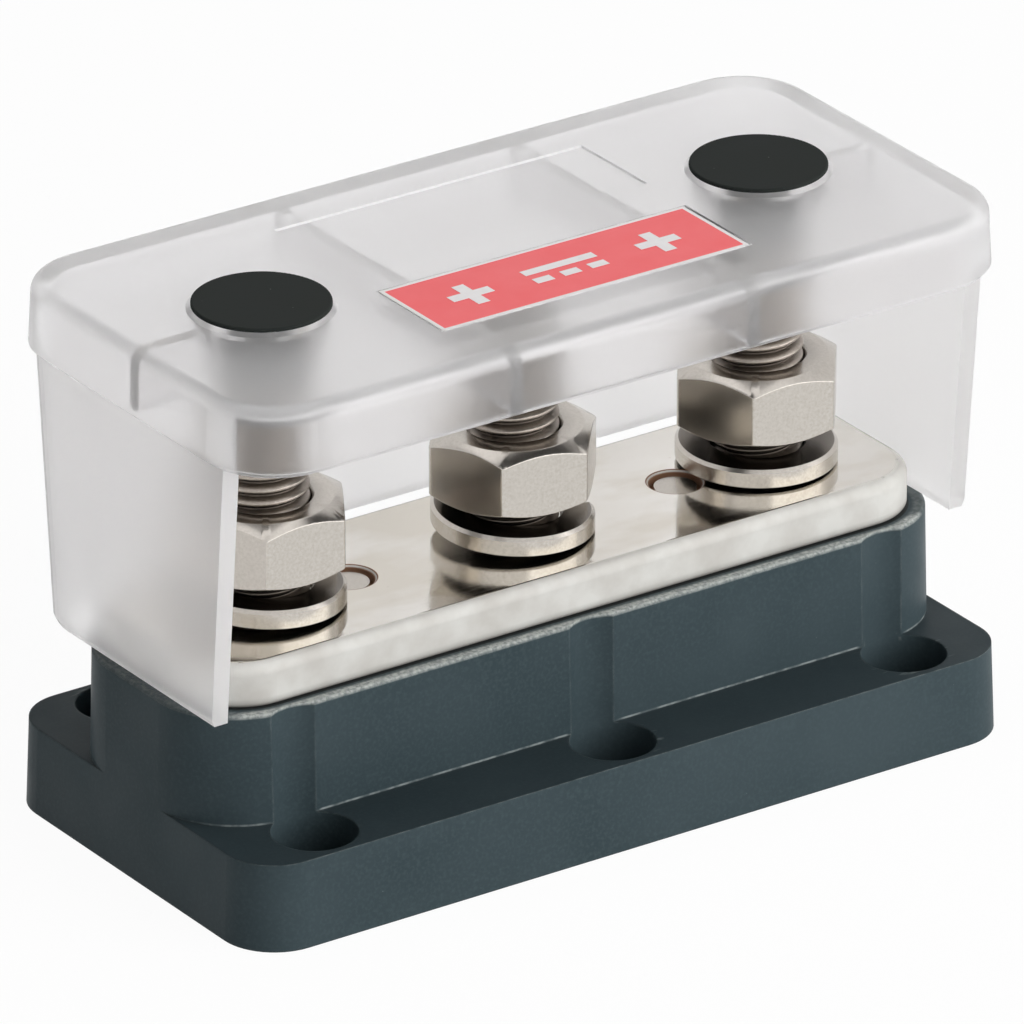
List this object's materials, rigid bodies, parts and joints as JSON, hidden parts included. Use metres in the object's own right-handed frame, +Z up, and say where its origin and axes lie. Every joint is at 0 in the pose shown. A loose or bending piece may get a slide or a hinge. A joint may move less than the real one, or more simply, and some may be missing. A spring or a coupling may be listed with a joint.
{
  "type": "covered bus bar",
  "caption": "Covered bus bar: a slate moulded base carries a plated copper plate with threaded studs, spring washers and nuts, under a frosted cover that lifts off.",
  "frame": {"origin": "middle of the base's underside", "axes": "+X along the bar, +Y from the open front to the cover's back wall, +Z up along the studs"},
  "size_m": [0.0992, 0.0494, 0.0627],
  "materials": {
    "slate_plastic": "satin moulded plastic",
    "tinned_copper": "polished tin plate over copper",
    "plated_steel": "bright steel",
    "frosted_plastic": "frosted clear moulding",
    "black_rubber": "matte",
    "red_label": "printed film"
  },
  "bodies": {
    "base": {"base": "slate_plastic", "bus_plate": "tinned_copper", "plate_screw_left": "plated_steel", "plate_screw_right": "plated_steel", "stud_left": "plated_steel", "stud_middle": "plated_steel", "stud_right": "plated_steel", "spring_washer_left": "plated_steel", "spring_washer_middle": "plated_steel", "spring_washer_right": "plated_steel"},
    "cover": {"cover": "frosted_plastic", "cap_left": "black_rubber", "cap_right": "black_rubber", "label": "red_label"},
    "nut_left": {"nut_left": "plated_steel"},
    "nut_middle": {"nut_middle": "plated_steel"},
    "nut_right": {"nut_right": "plated_steel"}
  },
  "joints": [
    {"name": "cover_lift", "type": "slide", "parent": "base", "child": "cover", "axis": [0, 0, 1], "range_m": [0, 0.06]},
    {"name": "nut_left_turn", "type": "hinge", "parent": "base", "child": "nut_left", "pos_m": [-0.032, 0, 0.0364], "axis": [0, 0, 1], "continuous": true},
    {"name": "nut_middle_turn", "type": "hinge", "parent": "base", "child": "nut_middle", "pos_m": [0, 0, 0.0364], "axis": [0, 0, 1], "continuous": true},
    {"name": "nut_right_turn", "type": "hinge", "parent": "base", "child": "nut_right", "pos_m": [0.032, 0, 0.0364], "axis": [0, 0, 1], "continuous": true}
  ]
}
